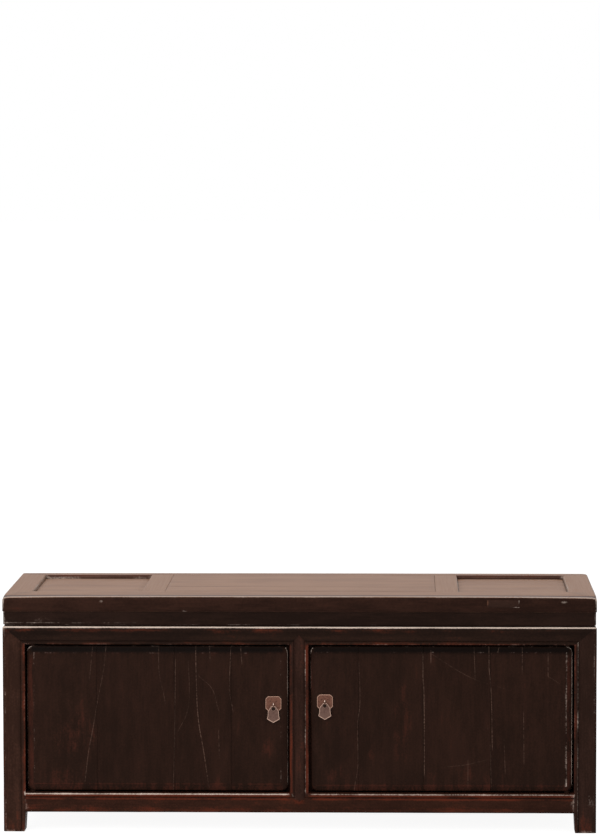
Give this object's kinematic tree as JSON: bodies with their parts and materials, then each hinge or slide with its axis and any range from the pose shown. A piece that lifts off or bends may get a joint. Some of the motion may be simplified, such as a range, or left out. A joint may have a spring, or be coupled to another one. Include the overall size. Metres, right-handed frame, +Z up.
{
  "type": "kang cabinet",
  "caption": "Low lacquered wooden cabinet on short square feet, with hinged plank doors on wooden pins, drop pulls, and a framed top with a lift-out lid between recessed panels.",
  "frame": {"origin": "middle of the bounding box, on the floor under the feet", "axes": "+X along the length, to the right of someone who faces the doors; +Y from the doors to the back; +Z up"},
  "size_m": [1.2, 0.4255, 0.48],
  "materials": {
    "dark_lacquer": "old dark brown lacquer, worn to red-brown and pale wood on the edges",
    "faded_lacquer": "brown lacquer, faded and worn matt on the top",
    "bare_wood": "unfinished, darkened with age",
    "old_brass": "brown patina, rubbed lighter on the edges"
  },
  "bodies": {
    "cabinet": {"post_front_left": "dark_lacquer", "post_front_right": "dark_lacquer", "post_back_left": "dark_lacquer", "post_back_right": "dark_lacquer", "front_top_rail": "dark_lacquer", "front_bottom_rail": "dark_lacquer", "front_centre_stile": "dark_lacquer", "side_top_rail_left": "dark_lacquer", "side_top_rail_right": "dark_lacquer", "side_bottom_rail_left": "dark_lacquer", "side_bottom_rail_right": "dark_lacquer", "side_panel_left": "dark_lacquer", "side_panel_right": "dark_lacquer", "back_top_rail": "bare_wood", "back_bottom_rail": "bare_wood", "back_centre_stile": "bare_wood", "back_panel_left": "bare_wood", "back_panel_right": "bare_wood", "floor_board_front": "bare_wood", "floor_board_middle": "bare_wood", "floor_board_back": "bare_wood", "floor_bearers": "bare_wood", "waist_front": "dark_lacquer", "waist_back": "dark_lacquer", "waist_left": "dark_lacquer", "waist_right": "dark_lacquer", "top_front_rail": "faded_lacquer", "top_back_rail": "faded_lacquer", "top_end_left": "faded_lacquer", "top_end_right": "faded_lacquer", "top_cross_left": "faded_lacquer", "top_cross_right": "faded_lacquer", "top_panel_left": "faded_lacquer", "top_panel_right": "faded_lacquer", "top_panel_batten_left": "bare_wood", "top_panel_batten_right": "bare_wood", "front_patch": "dark_lacquer"},
    "lid": {"lid_board_front": "faded_lacquer", "lid_board_back": "faded_lacquer", "lid_battens": "bare_wood"},
    "door_left": {"door_left_plank_1": "dark_lacquer", "door_left_plank_2": "dark_lacquer", "door_left_plank_3": "dark_lacquer", "door_left_plank_4": "dark_lacquer", "door_left_battens": "bare_wood", "door_left_plate": "old_brass", "door_left_eye_pin": "old_brass"},
    "door_right": {"door_right_plank_1": "dark_lacquer", "door_right_plank_2": "dark_lacquer", "door_right_plank_3": "dark_lacquer", "door_right_plank_4": "dark_lacquer", "door_right_battens": "bare_wood", "door_right_plate": "old_brass", "door_right_eye_pin": "old_brass"},
    "pull_left": {"door_left_pull": "old_brass"},
    "pull_right": {"door_right_pull": "old_brass"}
  },
  "joints": [
    {"name": "door_left_pins", "type": "hinge", "parent": "cabinet", "child": "door_left", "pos_m": [-0.541, -0.19125, 0.23], "axis": [0, 0, -1], "range_deg": [0, 98]},
    {"name": "door_right_pins", "type": "hinge", "parent": "cabinet", "child": "door_right", "pos_m": [0.541, -0.19125, 0.23], "axis": [0, 0, 1], "range_deg": [0, 98]},
    {"name": "pull_left_swing", "type": "hinge", "parent": "door_left", "child": "pull_left", "pos_m": [-0.052, -0.20735, 0.2589], "axis": [-1, 0, 0], "range_deg": [0, 80]},
    {"name": "pull_right_swing", "type": "hinge", "parent": "door_right", "child": "pull_right", "pos_m": [0.052, -0.20735, 0.2654], "axis": [-1, 0, 0], "range_deg": [0, 80]},
    {"name": "lid_lift", "type": "slide", "parent": "cabinet", "child": "lid", "axis": [0, 0, 1], "range_m": [0, 0.15]}
  ]
}
